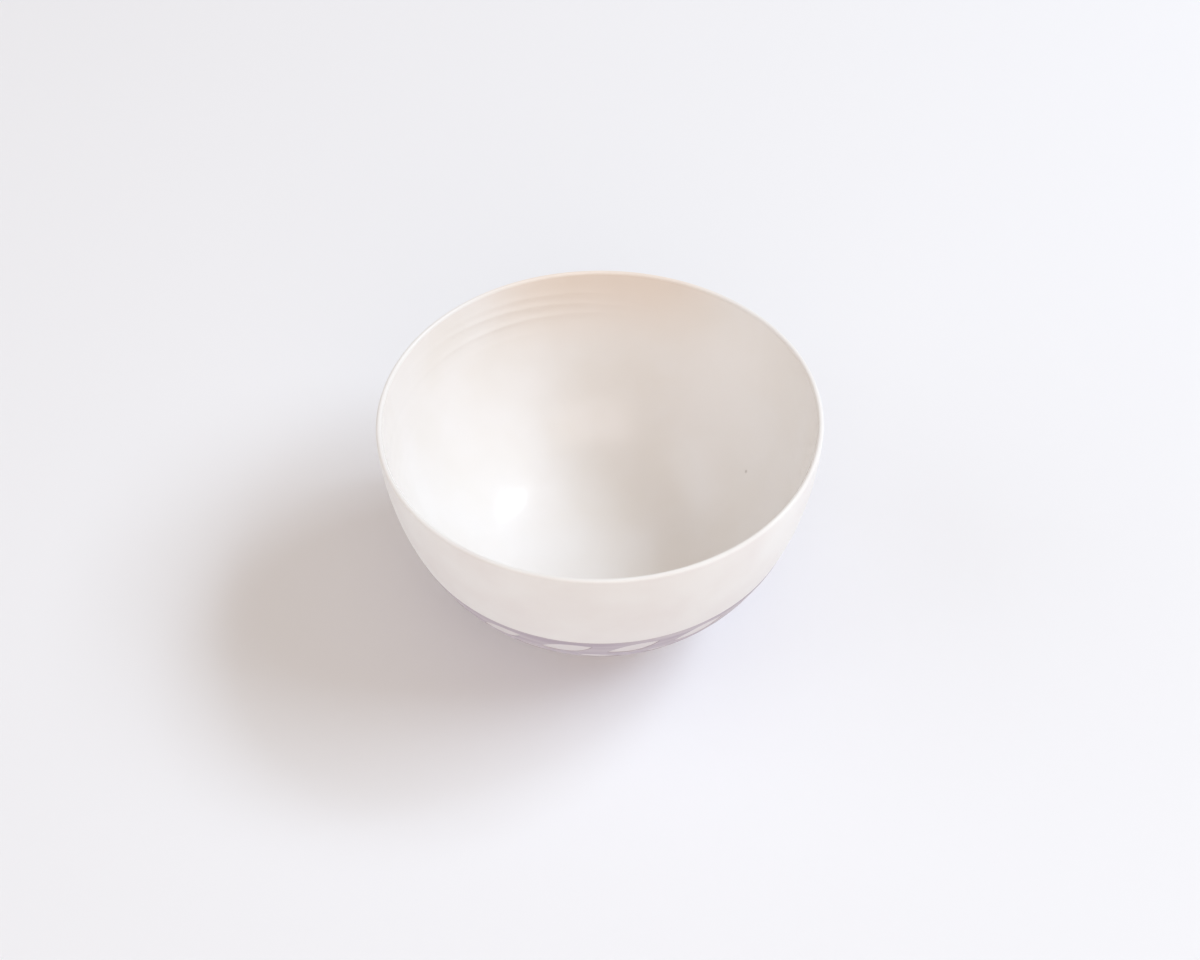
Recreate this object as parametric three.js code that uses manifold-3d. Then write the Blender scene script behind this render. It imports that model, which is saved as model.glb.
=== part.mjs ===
// A hand-thrown porcelain bowl: a thin wall on a turned foot ring, a glaze lining inside, and a coat of
// coloured slip on the lower half outside, with leaf shapes left open in it so that the white clay shows.
// Millimetres, +Z up, the middle of the foot's underside at the origin.
import * as THREE from "three";
import { mergeVertices } from "three/addons/utils/BufferGeometryUtils.js";
import Module from "manifold-3d";

const manifold = await Module();
manifold.setup();

// Overall sizes.
const RIM_RADIUS = 60; // outside of the lip
const HEIGHT = 69; // table to the top of the lip
const FOOT_RADIUS = 26; // outside of the foot ring, where the wall springs from it
const FOOT_HEIGHT = 7; // table to the seat under the wall

// The wall's outside is one curve from the foot to the lip. These set how far it holds its direction at each
// end, and how steeply it leaves the foot.
const BELLY_REACH = 34.4;
const BELLY_RISE = THREE.MathUtils.degToRad(20);
const RIM_REACH = 7.6;

// Thickness of the clay.
const LIP_WALL = 1.5;
const FOOT_WALL = 4.6; // where the wall meets the foot
const FLOOR_WALL = 3.2; // in the middle of the floor
const FLOOR_HEIGHT = 8; // table to the inside of the floor, in its middle

// Foot ring.
const FOOT_RING_WIDTH = 5.2; // at its top
const FOOT_OUTER_TAPER = 0.9; // how far its outside draws in towards the table
const FOOT_INNER_TAPER = 0.5; // how far its inside opens towards the table
const FOOT_EDGE = 0.7; // rounding of its two edges at the table

// Coats. Each lies a hair off the clay, so that the pieces stay separate solids.
const GLAZE_THICKNESS = 0.35;
const SLIP_THICKNESS = 0.3;
const COAT_GAP = 0.1;
const SEAT_GAP = 0.1; // foot ring to underside
const SLIP_TOP = 38.3; // height of the slip's upper edge
const SLIP_FOOT_MARGIN = 3; // bare clay left round the foot

// Leaf windows in the slip, in rows that shift by half a pitch.
const LEAF_ROWS = 3;
const LEAVES_IN_ROW = 18;
const LEAF_LENGTH = 15; // in the top row; lower rows shrink with the bowl's girth
const LEAF_WIDTH = 7;
const LEAF_SLANT = THREE.MathUtils.degToRad(20);
const FIRST_ROW_DROP = 5.3; // slip's upper edge down to the middle of the first row
const ROW_DROP = 8; // row to row
const LEAF_CUT_DEPTH = 6; // clears the coat from tip to tip

// Unevenness that throwing leaves: none below the start, and growing to these amounts at the lip.
const WAVE_START = 20;
const OVAL_AMOUNT = 0.35; // out-of-round, two lobes
const OVAL_ANGLE = THREE.MathUtils.degToRad(48);
const LIP_WAVE_AMOUNT = 0.25; // rise and fall of the lip, three lobes
const LIP_WAVE_ANGLE = THREE.MathUtils.degToRad(16);

// Facets.
const TURN_STEPS = 54;
const INSIDE_STEPS = 11;
const UPPER_STEPS = 5; // wall above the slip
const FLOOR_STEPS = 3;
const LIP_STEPS = 4;
const SLIP_STEPS = 8;
const EDGE_STEPS = 2;
const LEAF_STEPS = 4;
const SEARCH_END = 1e-6; // how closely a place on the wall is found

const wall = new THREE.CubicBezierCurve(
  new THREE.Vector2(FOOT_RADIUS, FOOT_HEIGHT),
  new THREE.Vector2(
    FOOT_RADIUS + BELLY_REACH * Math.cos(BELLY_RISE),
    FOOT_HEIGHT + BELLY_REACH * Math.sin(BELLY_RISE),
  ),
  new THREE.Vector2(RIM_RADIUS, HEIGHT - LIP_WALL / 2 - RIM_REACH),
  new THREE.Vector2(RIM_RADIUS, HEIGHT - LIP_WALL / 2),
);

// The direction into the bowl, square to a curve that runs outwards and upwards.
function inward(curve, u) {
  const along = curve.getTangent(u);
  return new THREE.Vector2(-along.y, along.x);
}

// The point of a curve at u, moved into the bowl by a depth.
function lifted(curve, u, depth) {
  return curve.getPoint(u).addScaledVector(inward(curve, u), depth);
}

// The clay thickens from the lip down to the foot.
function wallThickness(u) {
  return THREE.MathUtils.lerp(FOOT_WALL, LIP_WALL, Math.sqrt(u));
}

// The inside of the floor, level in the middle and running on into the wall's inside.
const floorEdge = lifted(wall, 0, FOOT_WALL);
const floorMiddle = new THREE.Vector2(0, FLOOR_HEIGHT);
const floorReach = floorEdge.x / 3;
const floor = new THREE.CubicBezierCurve(
  floorMiddle,
  new THREE.Vector2(floorReach, floorMiddle.y),
  floorEdge.clone().addScaledVector(wall.getTangent(0), -floorReach),
  floorEdge,
);

// Evenly spaced values from one number to another, both ends included.
function steps(from, to, count) {
  return Array.from({ length: count + 1 }, (_, i) => THREE.MathUtils.lerp(from, to, i / count));
}

// The wall's u where its radius ("x") or its height ("y") reaches a value.
function wallWhere(coordinate, value) {
  let low = 0;
  let high = 1;
  while (high - low > SEARCH_END) {
    const middle = (low + high) / 2;
    if (wall.getPoint(middle)[coordinate] < value) low = middle;
    else high = middle;
  }
  return low;
}

const slipLow = wallWhere("x", FOOT_RADIUS + SLIP_FOOT_MARGIN);
const slipHigh = wallWhere("y", SLIP_TOP);

// The slipped part of the wall's outside, going up, stood off the clay by a height.
function slipSkin(height) {
  return steps(slipLow, slipHigh, SLIP_STEPS).map((u) => lifted(wall, u, -height));
}

// The inside from the lip down to the middle of the floor, stood off the clay by a height.
function insideSkin(height) {
  const sides = steps(1, 0, INSIDE_STEPS).map((u) => lifted(wall, u, wallThickness(u) + height));
  const bottom = steps(1, 0, FLOOR_STEPS).map((u) => lifted(floor, u, height));
  bottom[FLOOR_STEPS].x = 0;
  return sides.concat(bottom.slice(1));
}

// The lip's half-round, from the wall's outside over to its inside, without its two ends.
function lipRound() {
  const outside = wall.getPoint(1);
  const across = inward(wall, 1).multiplyScalar(LIP_WALL / 2);
  const up = wall.getTangent(1).multiplyScalar(LIP_WALL / 2);
  const middle = outside.clone().add(across);
  const angles = steps(0, Math.PI, LIP_STEPS).slice(1, -1);
  return angles.map((a) =>
    middle.clone().addScaledVector(across, -Math.cos(a)).addScaledVector(up, Math.sin(a)),
  );
}

// A quarter-round corner of the foot ring at the table, from one angle to another about its centre.
function footEdge(radius, from, to) {
  return steps(from, to, EDGE_STEPS).map(
    (a) => new THREE.Vector2(radius + FOOT_EDGE * Math.cos(a), FOOT_EDGE + FOOT_EDGE * Math.sin(a)),
  );
}

// Moves a point by the throwing's unevenness.
function addWaves(point) {
  const share = Math.max(0, point.z - WAVE_START) / (HEIGHT - WAVE_START);
  const angle = Math.atan2(point.y, point.x);
  const outwards = 1 + (OVAL_AMOUNT / RIM_RADIUS) * share ** 2 * Math.cos(2 * (angle - OVAL_ANGLE));
  const upwards = LIP_WAVE_AMOUNT * share ** 2 * Math.cos(3 * (angle - LIP_WAVE_ANGLE));
  return point.set(point.x * outwards, point.y * outwards, point.z + upwards);
}

// A profile of (radius, height) points turned round Z on the wheel.
function turned(profile) {
  const geometry = new THREE.LatheGeometry(profile, TURN_STEPS).rotateX(Math.PI / 2);
  const position = geometry.getAttribute("position");
  const point = new THREE.Vector3();
  for (let i = 0; i < position.count; i++) {
    addWaves(point.fromBufferAttribute(position, i)).toArray(position.array, 3 * i);
  }
  return geometry;
}

function solidOf(geometry) {
  const bare = geometry.clone().deleteAttribute("normal").deleteAttribute("uv");
  const merged = mergeVertices(bare);
  const mesh = new manifold.Mesh({
    numProp: 3,
    vertProperties: merged.getAttribute("position").array,
    triVerts: new Uint32Array(merged.index.array),
  });
  return new manifold.Manifold(mesh);
}

function geometryOf(solid) {
  const mesh = solid.getMesh();
  const geometry = new THREE.BufferGeometry();
  geometry.setAttribute("position", new THREE.BufferAttribute(mesh.vertProperties, 3));
  geometry.setIndex(new THREE.BufferAttribute(mesh.triVerts, 1));
  geometry.computeVertexNormals();
  return geometry;
}

// A leaf between two bowed sides, tip to tip along X, as a punch through the slip.
function leafPunch(length, width) {
  const leaf = new THREE.Shape();
  leaf.moveTo(-length / 2, 0);
  leaf.quadraticCurveTo(0, -width, length / 2, 0);
  leaf.quadraticCurveTo(0, width, -length / 2, 0);
  const options = { depth: LEAF_CUT_DEPTH, bevelEnabled: false, curveSegments: LEAF_STEPS };
  return new THREE.ExtrudeGeometry(leaf, options).translate(0, 0, -LEAF_CUT_DEPTH / 2);
}

// A punch at u on the wall and an angle round the bowl, square to the surface and leaning by a slant.
function placedPunch(punch, u, angle, slant) {
  const point = addWaves(new THREE.Vector3(wall.getPoint(u).x, 0, wall.getPoint(u).y));
  const outward = inward(wall, u).negate();
  const normal = new THREE.Vector3(outward.x, 0, outward.y);
  const around = new THREE.Vector3(0, 1, 0);
  const upWall = normal.clone().cross(around);
  const place = new THREE.Matrix4().makeRotationZ(angle);
  place.multiply(new THREE.Matrix4().makeBasis(around, upWall, normal).setPosition(point));
  return punch.clone().applyMatrix4(place.multiply(new THREE.Matrix4().makeRotationZ(slant)));
}

// Thrown wall and floor in one lump of clay.
function bowlBody() {
  const seatRadius = FOOT_RADIUS - FOOT_RING_WIDTH;
  const undersideMiddle = new THREE.Vector2(0, FLOOR_HEIGHT - FLOOR_WALL);
  const underside = new THREE.QuadraticBezierCurve(
    undersideMiddle,
    new THREE.Vector2(seatRadius / 2, undersideMiddle.y),
    new THREE.Vector2(seatRadius, FOOT_HEIGHT),
  );
  const below = [...underside.getPoints(FLOOR_STEPS), wall.getPoint(0)];
  const upper = steps(slipHigh, 1, UPPER_STEPS).map((u) => wall.getPoint(u));
  return turned([...below, ...slipSkin(0), ...upper.slice(1), ...lipRound(), ...insideSkin(0)]);
}

// Turned ring that the bowl stands on, drawn in towards the table, with a flat bare face.
function footRing() {
  const top = FOOT_HEIGHT - SEAT_GAP;
  const innerTop = FOOT_RADIUS - FOOT_RING_WIDTH;
  const profile = [
    new THREE.Vector2(innerTop, top),
    ...footEdge(innerTop + FOOT_INNER_TAPER + FOOT_EDGE, Math.PI, 1.5 * Math.PI),
    ...footEdge(FOOT_RADIUS - FOOT_OUTER_TAPER - FOOT_EDGE, -0.5 * Math.PI, 0),
    new THREE.Vector2(FOOT_RADIUS, top),
    new THREE.Vector2(innerTop, top),
  ];
  return turned(profile);
}

// Glaze poured inside and drained: a lining from the lip to the middle of the floor.
function innerGlaze() {
  return turned([...insideSkin(COAT_GAP).reverse(), ...insideSkin(COAT_GAP + GLAZE_THICKNESS)]);
}

// Slip brushed on the lower outside, with the leaves punched out of it.
function slipBand() {
  const outer = slipSkin(COAT_GAP + SLIP_THICKNESS);
  let band = solidOf(turned([...outer, ...slipSkin(COAT_GAP).reverse(), outer[0]]));
  const pitch = (2 * Math.PI) / LEAVES_IN_ROW;
  const girth = wall.getPoint(slipHigh).x;
  for (let row = 0; row < LEAF_ROWS; row++) {
    const u = wallWhere("y", SLIP_TOP - FIRST_ROW_DROP - row * ROW_DROP);
    const scale = wall.getPoint(u).x / girth;
    const punch = leafPunch(LEAF_LENGTH * scale, LEAF_WIDTH * scale);
    const slant = row % 2 ? -LEAF_SLANT : LEAF_SLANT;
    for (let i = 0; i < LEAVES_IN_ROW; i++) {
      const angle = (i + (row % 2) / 2) * pitch;
      band = band.subtract(solidOf(placedPunch(punch, u, angle, slant)));
    }
  }
  return geometryOf(band);
}

function piece(name, geometry, colour, roughness) {
  const material = new THREE.MeshStandardMaterial({ color: colour, roughness, metalness: 0 });
  const mesh = new THREE.Mesh(geometry, material);
  mesh.name = name;
  return mesh;
}

const bowl = new THREE.Group();
bowl.add(
  piece("bowl_body", bowlBody(), 0xf0e9e4, 0.55),
  piece("foot_ring", footRing(), 0xece3da, 0.8),
  piece("inner_glaze", innerGlaze(), 0xece8e2, 0.25),
  piece("slip_band", slipBand(), 0xb6afc6, 0.6),
);

export default bowl;
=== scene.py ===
import math
import random

import bpy
import numpy as np
from bpy.props import FloatProperty, FloatVectorProperty, IntProperty, PointerProperty
from mathutils import Euler, Matrix, Vector


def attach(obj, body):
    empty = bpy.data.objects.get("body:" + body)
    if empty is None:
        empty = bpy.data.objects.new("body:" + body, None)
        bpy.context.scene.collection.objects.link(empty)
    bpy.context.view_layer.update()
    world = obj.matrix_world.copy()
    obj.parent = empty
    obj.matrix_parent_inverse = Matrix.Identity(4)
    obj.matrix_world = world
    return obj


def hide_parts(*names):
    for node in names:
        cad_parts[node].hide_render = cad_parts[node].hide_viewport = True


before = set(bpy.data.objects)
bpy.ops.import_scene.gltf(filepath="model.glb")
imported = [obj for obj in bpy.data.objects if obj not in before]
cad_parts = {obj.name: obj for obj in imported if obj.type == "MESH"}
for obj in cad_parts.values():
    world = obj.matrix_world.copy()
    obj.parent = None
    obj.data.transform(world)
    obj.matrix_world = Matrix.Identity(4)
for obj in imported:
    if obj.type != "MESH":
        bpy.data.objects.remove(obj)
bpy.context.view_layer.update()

bl_info = {
    "name": "Thrown porcelain bowl",
    "version": (1, 0, 0),
    "blender": (4, 5, 0),
    "location": "3D View > Sidebar > Bowl",
    "description": "Throws, turns, glazes and slips a small porcelain bowl, and sets it on a pale stage",
    "category": "Add Mesh",
}

MM = 0.001

# The two numbers of a point on a profile.
RADIUS = 0
HEIGHT = 1

# Sockets of the Mix node by number, because several of them share a name.
FACTOR = 0
NUMBER_A = 2
NUMBER_B = 3
COLOUR_A = 6
COLOUR_B = 7
MIXED_NUMBER = 0
MIXED_COLOUR = 2

# The photograph's frame and the middle of the rim in it, in pixels, and the camera's sensor in millimetres.
PHOTO_WIDTH = 1200
PHOTO_HEIGHT = 960
RIM_MIDDLE_IN_PHOTO = (600.0, 411.4)
SENSOR_WIDTH = 36

# Points along each stretch of a profile, close enough that no facet shows.
UNDERSIDE_STEPS = 60
WALL_STEPS = 110
LIP_STEPS = 12
FOOT_SIDE_STEPS = 30
FOOT_EDGE_STEPS = 6
GLAZE_STEPS = 180
SLIP_STEPS = 100
LEAF_STEPS = 10

# Stretches that a coat hides have fewer.
HIDDEN_INSIDE_STEPS = 60
SLIP_BACK_STEPS = 20

# The inside is drawn roughly, laid out again in even points, and smoothed in passes that draw each point
# towards its neighbours, as a rib evens wet clay.
ROUGH_WALL_STEPS = 300
ROUGH_FLOOR_STEPS = 100
RIB_POINTS = 241
RIB_PASSES = 120

SEARCH_HALVINGS = 24  # how closely a place on the wall is found
MERGE_DISTANCE = 0.002 * MM
SMOOTH_ANGLE = math.radians(40)

# Marks that run in a spiral: from a rib on the outside, from turning under the floor and on the foot, and
# from throwing on the inside of the wall and in its well. Their rise, their pitch, and where they are.
RIB_MARK_RISE = 0.006 * MM
RIB_MARK_PITCH = 5.2 * MM
RIB_MARK_HEIGHTS = (36 * MM, 69 * MM)
UNDERSIDE_RING_RISE = 0.03 * MM
UNDERSIDE_RING_PITCH = 2.1 * MM
UNDERSIDE_RING_RADIUS = 20 * MM
UNDERSIDE_TOP = 7.2 * MM
THROWING_RING_RISE = 0.006 * MM
THROWING_RING_PITCH = 4.4 * MM
THROWING_RING_HEIGHTS = (34 * MM, 68 * MM)
WELL_RING_RISE = 0.003 * MM
WELL_RING_PITCH = 4.8 * MM
WELL_RING_RADIUS = 26 * MM
FOOT_MARK_RISE = 0.025 * MM
FOOT_MARK_PITCH = 1.25 * MM
FOOT_MARK_HEIGHTS = (0.6 * MM, 7 * MM)

# Ridges that the fingers left inside, near the lip: height of the ridge's middle, how far it climbs in
# a radian, the angle of its middle, its spread, and how far it stands up. Millimetres and degrees.
FINGER_RIDGES = (
    (56.3, 2.1, 118, 30, 0.22),
    (60.3, 4.3, 116, 28, 0.20),
    (63.2, 3.0, 112, 24, 0.14),
    (51.8, 2.0, 128, 26, 0.08),
)
FINGER_RIDGE_WIDTH = 0.85 * MM

# Shares of a coat's way over which the glaze has drained thin under the lip, and the slip fades at its edges.
GLAZE_DRAIN = 0.1
SLIP_FADE = 0.03

# How much one leaf differs from the next, in its place along the row, its slant, its length and its width.
HAND_SEED = 11
LEAF_PLACE_SPREAD = 0.02
LEAF_SLANT_SPREAD = 0.15
LEAF_LENGTH_SPREAD = 0.05
LEAF_WIDTH_SPREAD = 0.1

# Widths of the materials' patterns, in millimetres. Real grit is finer than 0.1 mm and brush hairs draw
# finer streaks, so both are drawn as coarse as they need to show in the render.
CLAY_CLOUD = 16
CLAY_GRIT = 0.7
GLAZE_CLOUD = 22
GLAZE_PEEL = 4
SLIP_STREAK_LENGTH = 24
SLIP_STREAK_WIDTH = 2.4
FOOT_CLOUD = 3
FOOT_GRIT = 0.5

# Clouds show between these two values of their noise, and streaks between these two of theirs.
CLOUD_RANGE = (0.35, 0.7)
STREAK_RANGE = (0.3, 0.7)

# How strongly fired clay and glaze bend light.
PORCELAIN_IOR = 1.5
GLAZE_IOR = 1.52

# Painted light: a warm glow, as of light shining through the thin wall, grows between two distances behind
# the axis, on the back side, with a little warmth of thin clay all round. Its reach down from the lip and its
# share, on the clay and in the glaze.
GLOW_START = 43 * MM
GLOW_FULL = 59 * MM
WARMTH_ALL_ROUND = 0.04
CLAY_GLOW_REACH = 9 * MM
CLAY_GLOW_SHARE = 0.6
GLAZE_GLOW_REACH = 30 * MM
GLAZE_GLOW_SHARE = 0.66

# The lip was wiped before firing, from nothing to fully between these two distances under its top.
WIPE_START = 2 * MM
WIPE_FULL = 0.8 * MM
WIPED_ROUGHNESS = 0.3

# Clay below the slip's upper edge is mixed towards the slip colour, which darkens the leaf windows: its
# share, and how fast it sets in under the slip's edge.
WINDOW_TINT_SHARE = 0.4
WINDOW_TINT_FADE = 0.4 * MM

# The one iron speck inside: its place, its soft edge, its core and its strength.
SPECK_PLACE = (42.9 * MM, 17.3 * MM, 27.8 * MM)
SPECK_EDGE = 0.7 * MM
SPECK_CORE = 0.2 * MM
SPECK_STRENGTH = 0.4

# The kiln shelf toasted the foot below the first height, most below the second, with a ragged edge.
TOAST_START = 2.0 * MM
TOAST_FULL = 0.6 * MM
TOAST_RAGGED = 1.2 * MM
TOAST_SHARE = 0.8

# The stage, in metres.
FLOOR_SIDE = 6
FLOOR_ROUGHNESS = 0.85
FRONT_LAMP_PLACE = Vector((0.2, -2.4, 1.6))
LEFT_LAMP_PLACE = Vector((-2.4, -0.3, 1.4))


def linear(colour):
    """Linear red, green and blue of an sRGB hex colour."""
    levels = [int(colour[i:i + 2], 16) / 255 for i in (1, 3, 5)]
    return [c / 12.92 if c <= 0.04045 else ((c + 0.055) / 1.055) ** 2.4 for c in levels]


def length(name, millimetres, description):
    """A length that can be changed in the panel."""
    return FloatProperty(
        name=name, description=description, default=millimetres * MM, min=0, precision=5,
        subtype="DISTANCE", unit="LENGTH",
    )


def turn(name, degrees, description):
    """An angle that can be changed in the panel."""
    return FloatProperty(
        name=name, description=description, default=math.radians(degrees), subtype="ANGLE", unit="ROTATION",
    )


def count(name, number, least, description):
    """A number of like things that can be changed in the panel."""
    return IntProperty(name=name, description=description, default=number, min=least)


def power(name, watts, description):
    """A lamp's power that can be changed in the panel."""
    return FloatProperty(name=name, description=description, default=watts, unit="POWER")


def tint(name, colour, description):
    """A colour that can be changed in the panel."""
    return FloatVectorProperty(
        name=name, description=description, default=(*linear(colour), 1),
        size=4, min=0, max=1, subtype="COLOR",
    )


class BowlForm(bpy.types.PropertyGroup):
    """Sizes of the thrown wall and the turned foot."""

    rim_radius: length("Rim radius", 60, "Axis to the outside of the lip")
    height: length("Height", 69, "Table to the top of the lip")
    foot_radius: length("Foot radius", 26, "Axis to the foot ring's outside, where the wall springs from it")
    foot_height: length("Foot height", 7, "Table to the seat under the wall")
    belly_reach: length("Belly reach", 34.4, "How far the wall holds its direction as it leaves the foot")
    belly_rise: turn("Belly rise", 20, "How steeply the wall leaves the foot")
    rim_reach: length("Rim reach", 7.6, "How far the wall stays upright below the lip")
    lip_wall: length("Lip wall", 1.5, "Thickness of the clay at the lip")
    foot_wall: length("Foot wall", 4.6, "Thickness of the clay where the wall meets the foot")
    floor_wall: length("Floor wall", 3.2, "Thickness of the clay in the middle of the floor")
    floor_height: length("Floor height", 8, "Table to the inside of the floor, in its middle")
    ring_width: length("Foot ring width", 5.2, "Width of the foot ring at its top")
    ring_outer_taper: length("Foot outer taper", 0.9, "How far the ring's outside draws in to the table")
    ring_inner_taper: length("Foot inner taper", 0.5, "How far the ring's inside opens to the table")
    ring_edge: length("Foot edge", 0.7, "Rounding of the ring's two edges at the table")
    wave_start: length("Wave start", 20, "Height below which the bowl runs true")
    oval: length("Oval", 0.35, "How far the lip is out of round")
    oval_angle: turn("Oval angle", 48, "Direction of the lip's longer way across")
    lip_wave: length("Lip wave", 0.25, "Rise and fall of the lip")
    lip_wave_angle: turn("Lip wave angle", 16, "Direction of one of the lip's three high places")
    turn_steps: count("Turn steps", 256, 48, "Faces round the bowl")


class BowlCoats(bpy.types.PropertyGroup):
    """Sizes of the glaze lining and of the slip with its leaf windows."""

    coat_bite: length("Coat bite", 0.03, "How far a coat has fused into the clay under it")
    glaze: length("Glaze", 0.4, "Thickness of the glaze inside")
    glaze_at_lip: length("Glaze at the lip", 0.05, "Thickness of the glaze that stays at the lip")
    slip: length("Slip", 0.14, "Thickness of the slip")
    slip_edge: length("Slip edge", 0.04, "Thickness of the slip at its upper and lower edge")
    slip_top: length("Slip top", 38.3, "Table to the slip's upper edge")
    slip_foot_margin: length("Slip foot margin", 3, "Bare clay left round the foot")
    leaf_rows: count("Leaf rows", 3, 1, "Rows of leaves, one above another")
    leaves_in_row: count("Leaves in a row", 18, 3, "Leaves round the bowl")
    leaf_length: length("Leaf length", 15, "Tip to tip, in the top row")
    leaf_width: length("Leaf width", 7, "Across the middle, in the top row")
    leaf_slant: turn("Leaf slant", 20, "Lean of a leaf, to the other side in every second row")
    first_row_drop: length("First row drop", 5.3, "Slip's upper edge down to the first row")
    row_drop: length("Row drop", 8, "One row down to the next")
    punch_depth: length("Punch depth", 6, "Depth of the punch that opens a leaf")


class BowlColours(bpy.types.PropertyGroup):
    """Colours of the clay, its coats and the floor."""

    clay: tint("Clay", "#F1EFED", "Bare porcelain")
    clay_blush: tint("Clay blush", "#EDE9E7", "Warmer clouds in the bare porcelain")
    # Painted light too: at the back this colour stands for the warm glow of light shining through the thin
    # wall.
    lip_warmth_and_glow: tint("Lip warmth", "#EFDCCB", "Thin clay at the lip")
    glaze: tint("Glaze", "#F3F0EE", "Milky clear glaze over white clay")
    glaze_cloud: tint("Glaze cloud", "#F0ECE8", "Where the glaze lies thicker")
    speck: tint("Speck", "#8E8074", "Iron speck in the glaze")
    slip: tint("Slip", "#CFC7CC", "Lavender slip where the brush drew thin")
    slip_thick: tint("Slip, thick", "#B8ADB8", "Lavender slip where the brush left more")
    foot: tint("Foot", "#E8DFD6", "Turned bare clay of the foot")
    foot_toast: tint("Foot toast", "#D8C6B3", "Edge that stood on the kiln shelf")
    floor: tint("Floor", "#F2F2F5", "Floor under the bowl")


class BowlStage(bpy.types.PropertyGroup):
    """Camera and light."""

    camera_distance: length("Camera distance", 450, "Camera to the middle of the rim")
    camera_elevation: turn("Camera elevation", 44.0, "Height of the camera over the rim's plane")
    focal_pixels: FloatProperty(
        name="Focal length", description="In pixels of the photograph", default=1675, subtype="PIXEL",
    )
    lamp_distance: length("Lamp distance", 2500, "Key and spark lamps to the bowl")
    lamp_colour: tint("Lamp colour", "#E0F0FF", "Key and spark lamps, cool as daylight")
    key_turn: turn("Key turn", 0, "Direction of the broad key lamp, from the right towards the back")
    key_elevation: turn("Key elevation", 45.5, "Height of the key lamp")
    key_width: length("Key width", 1300, "Level side of the key lamp")
    key_height: length("Key height", 950, "Other side of the key lamp")
    key_power: power("Key power", 31.5, "Key lamp")
    spark_turn: turn("Spark turn", 25, "Direction of the smaller lamp that the glaze mirrors")
    spark_elevation: turn("Spark elevation", 50, "Height of the spark lamp")
    spark_size: length("Spark size", 560, "Side of the spark lamp")
    spark_power: power("Spark power", 12, "Spark lamp")
    fill_size: length("Fill size", 2400, "Side of the two soft lamps")
    front_power: power("Front power", 20.5, "Soft lamp in front")
    front_colour: tint("Front colour", "#FFF0E8", "Soft lamp in front")
    left_power: power("Left power", 16.8, "Soft lamp on the left")
    left_colour: tint("Left colour", "#E3F0FF", "Soft lamp on the left")
    room_light: FloatProperty(name="Room light", description="Soft light from all round", default=0.466)
    room_colour: tint("Room colour", "#FFEFDE", "Soft light from all round")
    backdrop: tint("Backdrop", "#F1F1F4", "Pale background that the camera and the glaze see")


def on_curve(corners, share):
    """Point and direction of a Bezier curve at a share of its way, worked out between its corners."""
    points = list(corners)
    while len(points) > 2:
        points = [a.lerp(b, share) for a, b in zip(points, points[1:])]
    start, end = points
    return start.lerp(end, share), (end - start).normalized()


def lifted(corners, share, depth):
    """Point of a curve, moved into the bowl by a depth."""
    point, along = on_curve(corners, share)
    return point + depth * Vector((-along.y, along.x))


def shares(first, last, steps):
    """Evenly spaced numbers from one value to another, both ends included."""
    return [first + (last - first) * i / steps for i in range(steps + 1)]


def wall_corners(form):
    """Corners of the wall's outside curve, as radius and height, from the foot to the lip."""
    foot = Vector((form.foot_radius, form.foot_height))
    lip = Vector((form.rim_radius, form.height - form.lip_wall / 2))
    belly = form.belly_reach * Vector((math.cos(form.belly_rise), math.sin(form.belly_rise)))
    return foot, foot + belly, lip - Vector((0, form.rim_reach)), lip


def floor_corners(form):
    """Corners of the curve of the floor's inside, from its middle out to the wall."""
    wall = wall_corners(form)
    edge = lifted(wall, 0, form.foot_wall)
    middle = Vector((0, form.floor_height))
    reach = edge.x / 3
    return middle, middle + Vector((reach, 0)), edge - reach * on_curve(wall, 0)[1], edge


def clay_thickness(form, share):
    """Thickness of the wall, from the foot at share 0 to the lip at share 1."""
    return form.foot_wall + (form.lip_wall - form.foot_wall) * math.sqrt(share)


def wall_share(form, axis, value):
    """Share of the wall's way where its radius or its height reaches a value."""
    wall = wall_corners(form)
    low, high = 0.0, 1.0
    for _ in range(SEARCH_HALVINGS):
        middle = (low + high) / 2
        if on_curve(wall, middle)[0][axis] < value:
            low = middle
        else:
            high = middle
    return low


def inside_line(form):
    """Inside of the clay from the lip to the middle of the floor, smoothed as with a rib."""
    wall = wall_corners(form)
    floor = floor_corners(form)
    rough = [lifted(wall, u, clay_thickness(form, u)) for u in shares(1, 0, ROUGH_WALL_STEPS)]
    rough += [on_curve(floor, u)[0] for u in shares(1, 0, ROUGH_FLOOR_STEPS)[1:]]
    rough = np.array(rough)
    way = np.concatenate([[0], np.cumsum(np.hypot(*np.diff(rough, axis=0).T))])
    even = np.linspace(0, way[-1], RIB_POINTS)
    line = np.stack([np.interp(even, way, rough[:, 0]), np.interp(even, way, rough[:, 1])], 1)
    for _ in range(RIB_PASSES):
        beyond = line[-2] * (-1, 1)
        line[1:-1] = (line[:-2] + 2 * line[1:-1] + line[2:]) / 4
        line[-1] = (line[-2] + 2 * line[-1] + beyond) / 4
    return line


def inside_skin(form, height_at, steps):
    """Inside of the bowl from the lip to the middle of the floor, stood off the clay by a height."""
    line = inside_line(form)
    along = np.gradient(line, axis=0)
    along /= np.hypot(*along.T)[:, None]
    share = np.linspace(0, 1, len(line))
    points = []
    for s in shares(0, 1, steps):
        place = Vector([np.interp(s, share, line[:, i]) for i in (0, 1)])
        way = Vector([np.interp(s, share, along[:, i]) for i in (0, 1)])
        points.append(place + height_at(s) * Vector((way.y, -way.x)))
    points[-1].x = 0
    return points


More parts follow.
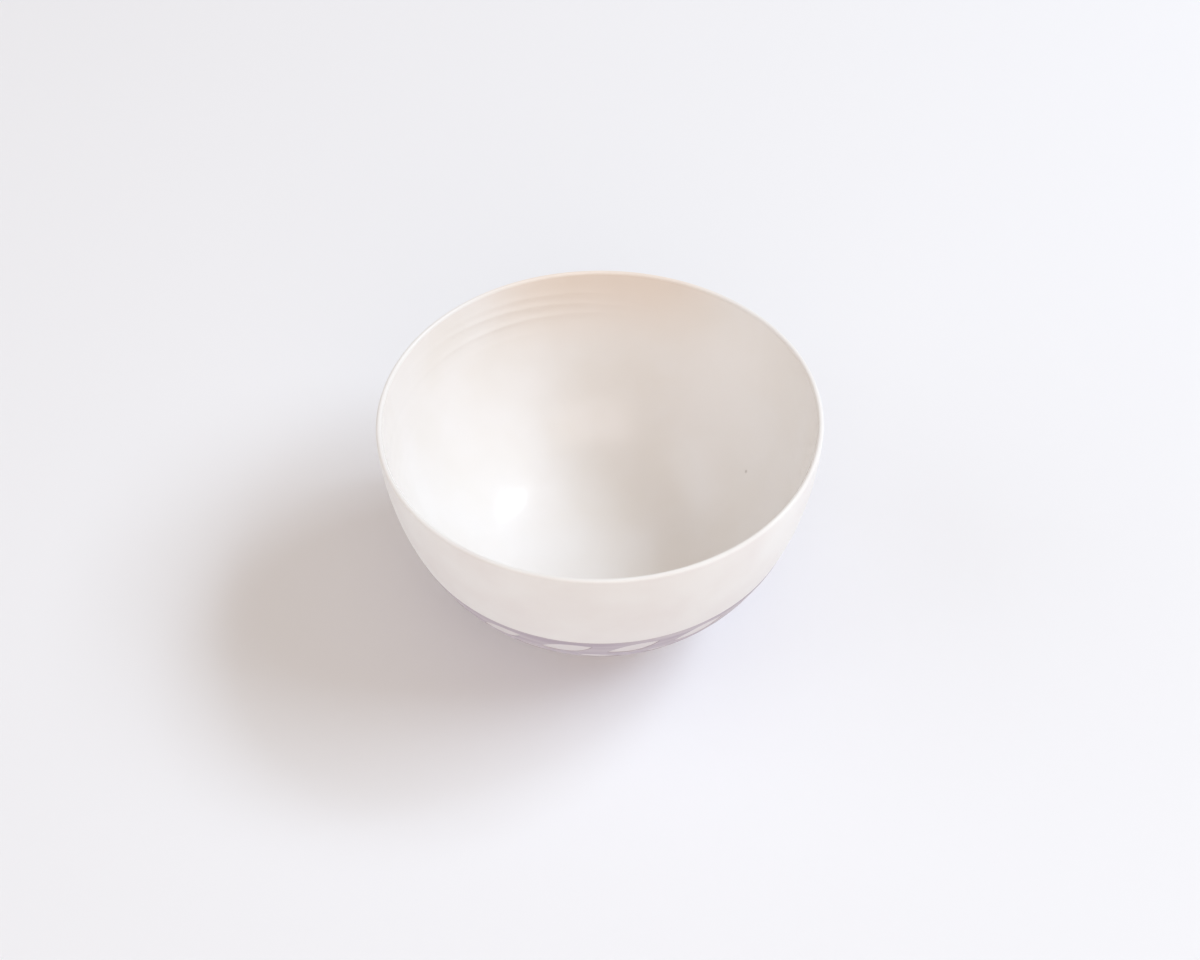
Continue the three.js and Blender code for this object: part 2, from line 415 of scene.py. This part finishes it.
def draw_line(name, points):
    """Starts a piece as one point and extrudes it along a line of points."""
    bpy.ops.object.select_all(action="DESELECT")
    bpy.ops.mesh.primitive_plane_add(size=MM, location=(0, 0, 0))
    piece = bpy.context.active_object
    piece.name = name
    piece.data.name = name
    bpy.ops.object.mode_set(mode="EDIT")
    bpy.ops.mesh.select_all(action="SELECT")
    bpy.ops.mesh.merge(type="CENTER")
    bpy.ops.transform.translate(value=points[0])
    for last, point in zip(points, points[1:]):
        bpy.ops.mesh.extrude_vertices_move(TRANSFORM_OT_translate={"value": point - last})
    bpy.ops.mesh.select_all(action="SELECT")
    return piece


def turn_on_wheel(name, profile, steps):
    """Draws a profile of radii and heights and spins it round the wheel's axis into a closed piece."""
    piece = draw_line(name, [Vector((p.x, 0, p.y)) for p in profile])
    bpy.ops.mesh.spin(steps=steps, angle=2 * math.pi, center=(0, 0, 0), axis=(0, 0, 1))
    bpy.ops.mesh.select_all(action="SELECT")
    bpy.ops.mesh.remove_doubles(threshold=MERGE_DISTANCE)
    bpy.ops.mesh.normals_make_consistent(inside=False)
    bpy.ops.object.mode_set(mode="OBJECT")
    return piece


def round_the_axis(places):
    """Radius, angle and height of points round the bowl's axis."""
    radius = np.hypot(places[:, 0], places[:, 1])
    return radius, np.arctan2(places[:, 1], places[:, 0]), places[:, 2]


def work_by_hand(piece, form, marks_at=None):
    """Raises marks on a turned piece, then puts it a little out of round with a waving lip."""
    mesh = piece.data
    places = np.empty(len(mesh.vertices) * 3, np.float32)
    normals = np.empty_like(places)
    mesh.vertices.foreach_get("co", places)
    mesh.vertices.foreach_get("normal", normals)
    places = places.reshape(-1, 3).astype(float)
    normals = normals.reshape(-1, 3).astype(float)
    if marks_at:
        places += normals * marks_at(places, normals)[:, None]
    angle = round_the_axis(places)[1]
    share = np.clip((places[:, 2] - form.wave_start) / (form.height - form.wave_start), 0, None) ** 2
    oval = form.oval / form.rim_radius * share * np.cos(2 * (angle - form.oval_angle))
    places[:, :2] *= (1 + oval)[:, None]
    places[:, 2] += form.lip_wave * share * np.cos(3 * (angle - form.lip_wave_angle))
    mesh.vertices.foreach_set("co", places.astype(np.float32).ravel())
    mesh.update()
    bpy.ops.object.shade_smooth_by_angle(angle=SMOOTH_ANGLE)


def rings(distance, pitch, angle):
    """A spiral of ridges with a pitch, between -1 and 1."""
    return np.cos(2 * math.pi * distance / pitch - angle)


def bump_between(value, low, high):
    """1 midway between two values, falling softly to 0 at both."""
    share = np.clip((value - low) / (high - low), 0, 1)
    return np.sin(math.pi * share) ** 2


def wall_marks(places, normals):
    """Rib marks on the outside of the wall and turning rings under the floor."""
    radius, angle, height = round_the_axis(places)
    faces_out = (normals[:, :2] * places[:, :2]).sum(1) > 0
    ribbed = bump_between(height, *RIB_MARK_HEIGHTS) * faces_out
    under = bump_between(radius, -UNDERSIDE_RING_RADIUS, UNDERSIDE_RING_RADIUS) * (height < UNDERSIDE_TOP)
    marks = RIB_MARK_RISE * ribbed * rings(height, RIB_MARK_PITCH, angle)
    return marks + UNDERSIDE_RING_RISE * under * rings(radius, UNDERSIDE_RING_PITCH, angle)


def glaze_marks(places, normals):
    """Finger ridges near the lip and the throwing spiral, softened by the glaze over them."""
    radius, angle, height = round_the_axis(places)
    faces_in = normals[:, 2] * radius - (normals[:, :2] * places[:, :2]).sum(1) > 0
    thrown = bump_between(height, *THROWING_RING_HEIGHTS)
    well = bump_between(radius, -WELL_RING_RADIUS, WELL_RING_RADIUS)
    marks = THROWING_RING_RISE * thrown * rings(height, THROWING_RING_PITCH, angle)
    marks += WELL_RING_RISE * well * rings(radius, WELL_RING_PITCH, angle)
    for middle, climb, place, spread, rise in FINGER_RIDGES:
        around = np.angle(np.exp(1j * (angle - math.radians(place))))
        off = (height - middle * MM - climb * MM * around) / FINGER_RIDGE_WIDTH
        marks += rise * MM * np.exp(-off ** 2) * np.exp(-(around / math.radians(spread)) ** 2)
    return marks * faces_in


def foot_marks(places, normals):
    """Rings that the turning tool left on the foot's two sides."""
    _, angle, height = round_the_axis(places)
    upright = 1 - np.abs(normals[:, 2])
    cut = bump_between(height, *FOOT_MARK_HEIGHTS)
    return FOOT_MARK_RISE * upright * cut * rings(height, FOOT_MARK_PITCH, angle)


def add_node(tree, kind, settings=None, links=None):
    """Adds a shader node, sets its options and inputs, and links its inputs to other nodes' outputs."""
    node = tree.nodes.new(kind)
    for key, value in (settings or {}).items():
        if isinstance(key, int) or key in node.inputs:
            node.inputs[key].default_value = value
        else:
            setattr(node, key, value)
    for key, source in (links or {}).items():
        tree.links.new(source, node.inputs[key])
    return node


def new_finish(name):
    """A material with its shader and the piece's own coordinates."""
    material = bpy.data.materials.new(name)
    material.use_nodes = True
    tree = material.node_tree
    tree.nodes.clear()
    shader = add_node(tree, "ShaderNodeBsdfPrincipled")
    add_node(tree, "ShaderNodeOutputMaterial", links={"Surface": shader.outputs["BSDF"]})
    place = add_node(tree, "ShaderNodeTexCoord").outputs["Object"]
    return material, tree, shader, place


def complete_finish(tree, shader, colour, rough, bump, ior):
    """Links a shader to its colour, roughness and bump, and sets how it bends light."""
    tree.links.new(colour, shader.inputs["Base Color"])
    tree.links.new(rough, shader.inputs["Roughness"])
    tree.links.new(bump, shader.inputs["Normal"])
    shader.inputs["IOR"].default_value = ior


def per(millimetres):
    """Scale of a pattern whose features are this wide."""
    return 1 / (millimetres * MM)


def clouded(tree, place, plain, cloud, width, detail):
    """A plain colour with soft clouds of another in it, of a width in millimetres."""
    noise = add_node(
        tree, "ShaderNodeTexNoise", {"Scale": per(width), "Detail": detail}, {"Vector": place},
    )
    share = add_node(
        tree, "ShaderNodeMapRange", {"From Min": CLOUD_RANGE[0], "From Max": CLOUD_RANGE[1]},
        {"Value": noise.outputs["Fac"]},
    )
    mixed = add_node(
        tree, "ShaderNodeMix", {"data_type": "RGBA", COLOUR_A: plain, COLOUR_B: cloud},
        {FACTOR: share.outputs["Result"]},
    )
    return mixed.outputs[MIXED_COLOUR]


def textured(tree, pattern, smoothest, roughest, strength, depth):
    """Roughness and bump that both follow one pattern."""
    rough = add_node(
        tree, "ShaderNodeMapRange", {"To Min": smoothest, "To Max": roughest}, {"Value": pattern},
    )
    bump = add_node(
        tree, "ShaderNodeBump", {"Strength": strength, "Distance": depth}, {"Height": pattern},
    )
    return rough.outputs["Result"], bump.outputs["Normal"]


def painted_lip_glow(tree, place, form, reach, most):
    """Share of the warm tone near the lip, which fades down a reach from the lip and towards the front:
    painted light at the back, where it stands for a glow through the thin wall, and a little warmth of thin
    clay all round.
    """
    spot = add_node(tree, "ShaderNodeSeparateXYZ", links={"Vector": place})
    thin = add_node(
        tree, "ShaderNodeMapRange",
        {
            "interpolation_type": "SMOOTHSTEP",
            "From Min": form.height - reach, "From Max": form.height, "To Max": most,
        },
        {"Value": spot.outputs["Z"]},
    )
    backlit_share = add_node(
        tree, "ShaderNodeMapRange",
        {
            "interpolation_type": "SMOOTHSTEP",
            "From Min": GLOW_START, "From Max": GLOW_FULL, "To Min": WARMTH_ALL_ROUND,
        },
        {"Value": spot.outputs["Y"]},
    )
    blush = add_node(
        tree, "ShaderNodeMath", {"operation": "MULTIPLY"},
        {0: thin.outputs["Result"], 1: backlit_share.outputs["Result"]},
    )
    return blush.outputs["Value"]


def bare_porcelain(colours, form, coats):
    """Porcelain fired hard with no glaze and rubbed smooth: chalky white with faint warm clouds.

    It shines at the lip, and is mixed darker towards the slip colour below the slip's upper edge, where
    leaves were opened in the coat.
    """
    material, tree, shader, place = new_finish("Bare porcelain, ribbed and rubbed smooth")
    height = add_node(tree, "ShaderNodeSeparateXYZ", links={"Vector": place}).outputs["Z"]
    # Painted light: the warm glow of light shining through the thin wall at the back of the lip, over the
    # clay's own clouds.
    clouded_and_glowing = add_node(
        tree, "ShaderNodeMix", {"data_type": "RGBA", COLOUR_B: colours.lip_warmth_and_glow},
        {
            FACTOR: painted_lip_glow(tree, place, form, CLAY_GLOW_REACH, CLAY_GLOW_SHARE),
            COLOUR_A: clouded(tree, place, colours.clay, colours.clay_blush, width=CLAY_CLOUD, detail=3),
        },
    )
    # Below the slip's upper edge the clay is mixed towards the slip colour, which darkens the leaf windows.
    window_tinted = add_node(
        tree, "ShaderNodeMapRange",
        {"From Min": coats.slip_top, "From Max": coats.slip_top - WINDOW_TINT_FADE, "To Max": WINDOW_TINT_SHARE},
        {"Value": height},
    )
    colour = add_node(
        tree, "ShaderNodeMix", {"data_type": "RGBA", COLOUR_B: colours.slip},
        {FACTOR: window_tinted.outputs["Result"], COLOUR_A: clouded_and_glowing.outputs[MIXED_COLOUR]},
    )
    grit = add_node(tree, "ShaderNodeTexNoise", {"Scale": per(CLAY_GRIT), "Detail": 2}, {"Vector": place})
    rough, bump = textured(
        tree, grit.outputs["Fac"], smoothest=0.5, roughest=0.62, strength=0.25, depth=0.02 * MM,
    )
    wiped = add_node(
        tree, "ShaderNodeMapRange",
        {
            "interpolation_type": "SMOOTHSTEP",
            "From Min": form.height - WIPE_START, "From Max": form.height - WIPE_FULL,
        },
        {"Value": height},
    )
    finish = add_node(
        tree, "ShaderNodeMix", {NUMBER_B: WIPED_ROUGHNESS},
        {FACTOR: wiped.outputs["Result"], NUMBER_A: rough},
    )
    wiped_rough = finish.outputs[MIXED_NUMBER]
    complete_finish(tree, shader, colour.outputs[MIXED_COLOUR], wiped_rough, bump, PORCELAIN_IOR)
    return material


def satin_glaze(colours, form):
    """Milky satin glaze, poured in and drained: a soft-edged highlight, thin at the lip, with a painted warm
    glow of light through the thin wall down the back.
    """
    material, tree, shader, place = new_finish("Satin glaze, poured and drained")
    # Painted light: the warm glow of light shining through the thin wall, down the back of the inside, over a
    # little warmth at the lip all round.
    warm = add_node(
        tree, "ShaderNodeMix", {"data_type": "RGBA", COLOUR_B: colours.lip_warmth_and_glow},
        {
            FACTOR: painted_lip_glow(tree, place, form, GLAZE_GLOW_REACH, GLAZE_GLOW_SHARE),
            COLOUR_A: clouded(tree, place, colours.glaze, colours.glaze_cloud, width=GLAZE_CLOUD, detail=2),
        },
    )
    from_speck = add_node(
        tree, "ShaderNodeVectorMath", {"operation": "DISTANCE", 1: SPECK_PLACE}, {0: place},
    )
    in_speck = add_node(
        tree, "ShaderNodeMapRange",
        {"From Min": SPECK_EDGE, "From Max": SPECK_CORE, "To Max": SPECK_STRENGTH},
        {"Value": from_speck.outputs["Value"]},
    )
    colour = add_node(
        tree, "ShaderNodeMix", {"data_type": "RGBA", COLOUR_B: colours.speck},
        {FACTOR: in_speck.outputs["Result"], COLOUR_A: warm.outputs[MIXED_COLOUR]},
    )
    peel = add_node(tree, "ShaderNodeTexNoise", {"Scale": per(GLAZE_PEEL), "Detail": 1}, {"Vector": place})
    rough, bump = textured(
        tree, peel.outputs["Fac"], smoothest=0.2, roughest=0.235, strength=0.2, depth=0.01 * MM,
    )
    complete_finish(tree, shader, colour.outputs[MIXED_COLOUR], rough, bump, GLAZE_IOR)
    return material


def lavender_slip(colours):
    """Clay slip coloured lavender and brushed on as the bowl turned: dry, matt and streaked round it."""
    material, tree, shader, place = new_finish("Lavender slip, brushed on the wheel")
    along = per(SLIP_STREAK_LENGTH)
    across = per(SLIP_STREAK_WIDTH)
    stretched = add_node(
        tree, "ShaderNodeMapping", {"Scale": (along, along, across)}, {"Vector": place},
    )
    streaks = add_node(
        tree, "ShaderNodeTexNoise", {"Scale": 1, "Detail": 3}, {"Vector": stretched.outputs["Vector"]},
    ).outputs["Fac"]
    thick = add_node(
        tree, "ShaderNodeMapRange", {"From Min": STREAK_RANGE[0], "From Max": STREAK_RANGE[1]},
        {"Value": streaks},
    )
    colour = add_node(
        tree, "ShaderNodeMix",
        {"data_type": "RGBA", COLOUR_A: colours.slip, COLOUR_B: colours.slip_thick},
        {FACTOR: thick.outputs["Result"]},
    )
    rough, bump = textured(
        tree, streaks, smoothest=0.62, roughest=0.78, strength=0.5, depth=0.06 * MM,
    )
    complete_finish(tree, shader, colour.outputs[MIXED_COLOUR], rough, bump, PORCELAIN_IOR)
    return material


def turned_foot(colours):
    """Bare porcelain cut with a turning tool: dry, a little darker, toasted where it stood in the kiln."""
    material, tree, shader, place = new_finish("Bare porcelain, turned and wiped")
    height = add_node(tree, "ShaderNodeSeparateXYZ", links={"Vector": place}).outputs["Z"]
    clouds = add_node(
        tree, "ShaderNodeTexNoise", {"Scale": per(FOOT_CLOUD), "Detail": 3}, {"Vector": place},
    )
    edge = add_node(
        tree, "ShaderNodeMath", {"operation": "MULTIPLY_ADD", 1: TOAST_RAGGED},
        {0: clouds.outputs["Fac"], 2: height},
    )
    toasted = add_node(
        tree, "ShaderNodeMapRange",
        {
            "interpolation_type": "SMOOTHSTEP",
            "From Min": TOAST_START, "From Max": TOAST_FULL, "To Max": TOAST_SHARE,
        },
        {"Value": edge.outputs["Value"]},
    )
    colour = add_node(
        tree, "ShaderNodeMix",
        {"data_type": "RGBA", COLOUR_A: colours.foot, COLOUR_B: colours.foot_toast},
        {FACTOR: toasted.outputs["Result"]},
    )
    grit = add_node(tree, "ShaderNodeTexNoise", {"Scale": per(FOOT_GRIT), "Detail": 2}, {"Vector": place})
    rough, bump = textured(
        tree, grit.outputs["Fac"], smoothest=0.68, roughest=0.85, strength=0.5, depth=0.04 * MM,
    )
    complete_finish(tree, shader, colour.outputs[MIXED_COLOUR], rough, bump, PORCELAIN_IOR)
    return material


def hand_over(piece, node, material):
    """Gives a finished piece its material and its place in the frame."""
    piece.data.materials.clear()
    piece.data.materials.append(material)
    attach(piece, "root")
    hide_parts(node)


class BOWL_OT_throw_wall(bpy.types.Operator):
    """Throw the wall and floor from one lump of porcelain"""

    bl_idname = "bowl.throw_wall"
    bl_label = "Throw wall"

    def execute(self, context):
        scene = context.scene
        form = scene.bowl_form
        wall = wall_corners(form)
        seat = form.foot_radius - form.ring_width
        middle = Vector((0, form.floor_height - form.floor_wall))
        underside = middle, Vector((seat / 2, middle.y)), Vector((seat, form.foot_height))
        profile = [on_curve(underside, u)[0] for u in shares(0, 1, UNDERSIDE_STEPS)]
        profile += [on_curve(wall, u)[0] for u in shares(0, 1, WALL_STEPS)]
        lip = profile[-1] - Vector((form.lip_wall / 2, 0))
        for a in shares(0, math.pi, LIP_STEPS)[1:-1]:
            profile.append(lip + form.lip_wall / 2 * Vector((math.cos(a), math.sin(a))))
        profile += inside_skin(form, lambda s: 0, HIDDEN_INSIDE_STEPS)
        piece = turn_on_wheel("porcelain_wall", profile, form.turn_steps)
        work_by_hand(piece, form, wall_marks)
        finish = bare_porcelain(scene.bowl_colours, form, scene.bowl_coats)
        hand_over(piece, "bowl_body", finish)
        return {"FINISHED"}


class BOWL_OT_turn_foot(bpy.types.Operator):
    """Turn the foot ring that the bowl stands on"""

    bl_idname = "bowl.turn_foot"
    bl_label = "Turn foot"

    def execute(self, context):
        form = context.scene.bowl_form
        edge = form.ring_edge
        inner_top = Vector((form.foot_radius - form.ring_width, form.foot_height))
        outer_top = Vector((form.foot_radius, form.foot_height))
        inner_round = Vector((inner_top.x + form.ring_inner_taper + edge, edge))
        outer_round = Vector((outer_top.x - form.ring_outer_taper - edge, edge))
        corner = [Vector((math.cos(a), math.sin(a))) for a in shares(0, math.pi / 2, FOOT_EDGE_STEPS)]
        inside = [inner_round + edge * Vector((-c.x, -c.y)) for c in corner]
        outside = [outer_round + edge * Vector((c.y, -c.x)) for c in corner]
        inner_side = [inner_top.lerp(inside[0], u) for u in shares(0, 1, FOOT_SIDE_STEPS)]
        outer_side = [outside[-1].lerp(outer_top, u) for u in shares(0, 1, FOOT_SIDE_STEPS)]
        profile = inner_side + inside[1:] + outside + outer_side[1:] + inner_side[:1]
        piece = turn_on_wheel("foot_ring_turned", profile, form.turn_steps)
        work_by_hand(piece, form, foot_marks)
        hand_over(piece, "foot_ring", turned_foot(context.scene.bowl_colours))
        return {"FINISHED"}


class BOWL_OT_pour_glaze(bpy.types.Operator):
    """Pour glaze into the bowl and drain it, which leaves it thin at the lip"""

    bl_idname = "bowl.pour_glaze"
    bl_label = "Pour glaze"

    def execute(self, context):
        form = context.scene.bowl_form
        coats = context.scene.bowl_coats

        def face(share):
            drained = math.sin(math.pi / 2 * min(1, share / GLAZE_DRAIN))
            return coats.glaze_at_lip + (coats.glaze - coats.glaze_at_lip) * drained

        back = inside_skin(form, lambda s: -coats.coat_bite, HIDDEN_INSIDE_STEPS)
        profile = back[::-1] + inside_skin(form, face, GLAZE_STEPS)
        piece = turn_on_wheel("glaze_lining", profile, form.turn_steps)
        work_by_hand(piece, form, glaze_marks)
        hand_over(piece, "inner_glaze", satin_glaze(context.scene.bowl_colours, form))
        return {"FINISHED"}


class BOWL_OT_brush_slip(bpy.types.Operator):
    """Brush slip on the lower outside and open rows of leaves in it"""

    bl_idname = "bowl.brush_slip"
    bl_label = "Brush slip"

    def execute(self, context):
        form = context.scene.bowl_form
        coats = context.scene.bowl_coats
        wall = wall_corners(form)
        low = wall_share(form, RADIUS, form.foot_radius + coats.slip_foot_margin)
        high = wall_share(form, HEIGHT, coats.slip_top)

        def face(share):
            rise = math.sin(math.pi / 2 * min(1, share / SLIP_FADE, (1 - share) / SLIP_FADE))
            return coats.slip_edge + (coats.slip - coats.slip_edge) * rise

        outer = [lifted(wall, low + (high - low) * s, -face(s)) for s in shares(0, 1, SLIP_STEPS)]
        back = [lifted(wall, low + (high - low) * s, coats.coat_bite) for s in shares(1, 0, SLIP_BACK_STEPS)]
        piece = turn_on_wheel("slip_coat", outer + back + outer[:1], form.turn_steps)
        punches = self.leaf_punches(form, coats)
        windows = piece.modifiers.new("Leaf windows", "BOOLEAN")
        windows.operation = "DIFFERENCE"
        windows.solver = "EXACT"
        windows.object = punches
        bpy.ops.object.select_all(action="DESELECT")
        piece.select_set(True)
        context.view_layer.objects.active = piece
        bpy.ops.object.modifier_apply(modifier=windows.name)
        bpy.data.meshes.remove(punches.data)
        work_by_hand(piece, form)
        hand_over(piece, "slip_band", lavender_slip(context.scene.bowl_colours))
        return {"FINISHED"}

    def leaf_punches(self, form, coats):
        """Punches for all the leaves, each a copy of one leaf with a little of the hand in it."""
        hand = random.Random(HAND_SEED)

        def about_one(spread):
            return hand.uniform(1 - spread, 1 + spread)

        leaf = self.leaf_punch(coats)
        wall = wall_corners(form)
        girth = on_curve(wall, wall_share(form, HEIGHT, coats.slip_top))[0].x
        pitch = 2 * math.pi / coats.leaves_in_row
        copies = []
        for row in range(coats.leaf_rows):
            share = wall_share(form, HEIGHT, coats.slip_top - coats.first_row_drop - row * coats.row_drop)
            point, along = on_curve(wall, share)
            stands = Matrix(((0, along.x, along.y), (1, 0, 0), (0, along.y, -along.x)))
            stands = Matrix.Translation((point.x, 0, point.y)) @ stands.to_4x4()
            size = point.x / girth
            every_second = row % 2
            for i in range(coats.leaves_in_row):
                angle = (i + every_second / 2 + hand.uniform(-LEAF_PLACE_SPREAD, LEAF_PLACE_SPREAD)) * pitch
                slant = coats.leaf_slant * (-1 if every_second else 1) * about_one(LEAF_SLANT_SPREAD)
                long = size * about_one(LEAF_LENGTH_SPREAD)
                wide = size * about_one(LEAF_WIDTH_SPREAD)
                copy = leaf.copy()
                copy.data = leaf.data.copy()
                copy.data.transform(
                    Matrix.Rotation(angle, 4, "Z") @ stands
                    @ Matrix.Rotation(slant, 4, "Z") @ Matrix.Diagonal((long, wide, 1, 1))
                )
                bpy.context.collection.objects.link(copy)
                copies.append(copy)
        bpy.data.meshes.remove(leaf.data)
        bpy.ops.object.select_all(action="DESELECT")
        for copy in copies:
            copy.select_set(True)
        bpy.context.view_layer.objects.active = copies[0]
        bpy.ops.object.join()
        return bpy.context.active_object

    def leaf_punch(self, coats):
        """Draws one leaf flat and extrudes it into a punch."""
        half = Vector((coats.leaf_length / 2, 0, 0))
        bow = Vector((0, coats.leaf_width, 0))
        under = [on_curve((-half, -bow, half), s)[0] for s in shares(0, 1, LEAF_STEPS)]
        over = [on_curve((half, bow, -half), s)[0] for s in shares(0, 1, LEAF_STEPS)]
        leaf = draw_line("leaf_punch", under + over[1:-1])
        bpy.ops.mesh.edge_face_add()
        bpy.ops.transform.translate(value=(0, 0, -coats.punch_depth / 2))
        bpy.ops.mesh.extrude_region_move(TRANSFORM_OT_translate={"value": (0, 0, coats.punch_depth)})
        bpy.ops.mesh.select_all(action="SELECT")
        bpy.ops.mesh.normals_make_consistent(inside=False)
        bpy.ops.object.mode_set(mode="OBJECT")
        return leaf


class BOWL_OT_set_stage(bpy.types.Operator):
    """Set the floor, the light and the camera"""

    bl_idname = "bowl.set_stage"
    bl_label = "Set stage"

    def execute(self, context):
        scene = context.scene
        self.lay_floor(scene.bowl_colours)
        self.hang_lamps(scene.bowl_stage)
        self.light_room(scene)
        self.place_camera(scene)
        scene.view_settings.view_transform = "Standard"
        return {"FINISHED"}

    def lay_floor(self, colours):
        """Lays a board painted matt under the bowl, which is plain and pale and has no highlight."""
        bpy.ops.object.select_all(action="DESELECT")
        bpy.ops.mesh.primitive_plane_add(size=FLOOR_SIDE, location=(0, 0, 0))
        floor = bpy.context.active_object
        floor.name = "floor"
        material, _, shader, _ = new_finish("Painted board, matt")
        shader.inputs["Base Color"].default_value = colours.floor
        shader.inputs["Roughness"].default_value = FLOOR_ROUGHNESS
        floor.data.materials.append(material)

    def hang_lamps(self, stage):
        """Hangs a broad key lamp, a small one that the glaze mirrors, and two large soft ones."""
        away = Vector((stage.lamp_distance, 0, 0))
        key_place = Euler((0, -stage.key_elevation, stage.key_turn)).to_matrix() @ away
        spark_place = Euler((0, -stage.spark_elevation, stage.spark_turn)).to_matrix() @ away
        key_size = (stage.key_width, stage.key_height)
        spark_size = (stage.spark_size, stage.spark_size)
        fill_size = (stage.fill_size, stage.fill_size)
        key = self.add_lamp("key_lamp", key_place, key_size, stage.key_power, stage.lamp_colour)
        # The glaze mirrors the spark lamp and not this one, whose image would be too broad.
        key.visible_glossy = False
        self.add_lamp("spark_lamp", spark_place, spark_size, stage.spark_power, stage.lamp_colour)
        self.add_lamp("front_fill", FRONT_LAMP_PLACE, fill_size, stage.front_power, stage.front_colour)
        self.add_lamp("left_fill", LEFT_LAMP_PLACE, fill_size, stage.left_power, stage.left_colour)

    def add_lamp(self, name, place, size, watts, colour):
        """Adds a flat lamp that faces the bowl."""
        facing = place.to_track_quat("Z", "Y").to_euler()
        bpy.ops.object.light_add(type="AREA", location=place, rotation=facing)
        lamp = bpy.context.active_object
        lamp.name = name
        lamp.data.shape = "RECTANGLE"
        lamp.data.size, lamp.data.size_y = size
        lamp.data.energy = watts
        lamp.data.color = colour[:3]
        return lamp

    def light_room(self, scene):
        """Lights the bowl from all round, while the camera and the glaze see a pale backdrop."""
        stage = scene.bowl_stage
        world = bpy.data.worlds.new("Studio room")
        scene.world = world
        world.use_nodes = True
        tree = world.node_tree
        tree.nodes.clear()
        room = add_node(
            tree, "ShaderNodeBackground", {"Color": stage.room_colour, "Strength": stage.room_light},
        )
        seen = add_node(tree, "ShaderNodeBackground", {"Color": stage.backdrop, "Strength": 1})
        ray = add_node(tree, "ShaderNodeLightPath")
        direct = add_node(
            tree, "ShaderNodeMath", {"operation": "MAXIMUM"},
            {0: ray.outputs["Is Camera Ray"], 1: ray.outputs["Is Glossy Ray"]},
        )
        shown = add_node(
            tree, "ShaderNodeMath", {"operation": "MAXIMUM"},
            {0: direct.outputs["Value"], 1: ray.outputs["Is Transmission Ray"]},
        )
        sky = add_node(
            tree, "ShaderNodeMixShader", None,
            {0: shown.outputs["Value"], 1: room.outputs["Background"], 2: seen.outputs["Background"]},
        )
        add_node(tree, "ShaderNodeOutputWorld", None, {"Surface": sky.outputs["Shader"]})

    def place_camera(self, scene):
        """Places the camera so that the middle of the rim falls where the photograph has it."""
        stage = scene.bowl_stage
        rim = Vector((0, 0, scene.bowl_form.height))
        back = Vector((0, -math.cos(stage.camera_elevation), math.sin(stage.camera_elevation)))
        right_of_rim = math.atan((PHOTO_WIDTH / 2 - RIM_MIDDLE_IN_PHOTO[0]) / stage.focal_pixels)
        below_rim = math.atan((PHOTO_HEIGHT / 2 - RIM_MIDDLE_IN_PHOTO[1]) / stage.focal_pixels)
        bpy.ops.object.camera_add(
            location=rim + stage.camera_distance * back,
            rotation=(math.pi / 2 - stage.camera_elevation - below_rim, 0, -right_of_rim),
        )
        camera = bpy.context.active_object
        camera.data.sensor_fit = "HORIZONTAL"
        camera.data.sensor_width = SENSOR_WIDTH
        camera.data.lens = SENSOR_WIDTH * stage.focal_pixels / PHOTO_WIDTH
        scene.camera = camera


class BOWL_PT_maker(bpy.types.Panel):
    """Steps and settings of the bowl"""

    bl_idname = "BOWL_PT_maker"
    bl_label = "Porcelain bowl"
    bl_space_type = "VIEW_3D"
    bl_region_type = "UI"
    bl_category = "Bowl"

    def draw(self, context):
        for step in STEPS:
            self.layout.operator(step.bl_idname)
        for name, kind in SETTINGS.items():
            box = self.layout.box()
            for prop in kind.__annotations__:
                box.prop(getattr(context.scene, name), prop)


STEPS = (BOWL_OT_throw_wall, BOWL_OT_turn_foot, BOWL_OT_pour_glaze, BOWL_OT_brush_slip, BOWL_OT_set_stage)
SETTINGS = {
    "bowl_form": BowlForm,
    "bowl_coats": BowlCoats,
    "bowl_colours": BowlColours,
    "bowl_stage": BowlStage,
}


def register():
    """Registers the steps, the panel and the settings."""
    for kind in (*SETTINGS.values(), *STEPS, BOWL_PT_maker):
        bpy.utils.register_class(kind)
    for name, kind in SETTINGS.items():
        setattr(bpy.types.Scene, name, PointerProperty(type=kind))


def unregister():
    """Takes the settings, the panel and the steps back out."""
    for name in SETTINGS:
        delattr(bpy.types.Scene, name)
    for kind in (BOWL_PT_maker, *reversed(STEPS), *reversed(SETTINGS.values())):
        bpy.utils.unregister_class(kind)


def main():
    """Makes the bowl and its stage."""
    register()
    bpy.ops.bowl.throw_wall()
    bpy.ops.bowl.turn_foot()
    bpy.ops.bowl.pour_glaze()
    bpy.ops.bowl.brush_slip()
    bpy.ops.bowl.set_stage()


if __name__ == "__main__":
    main()
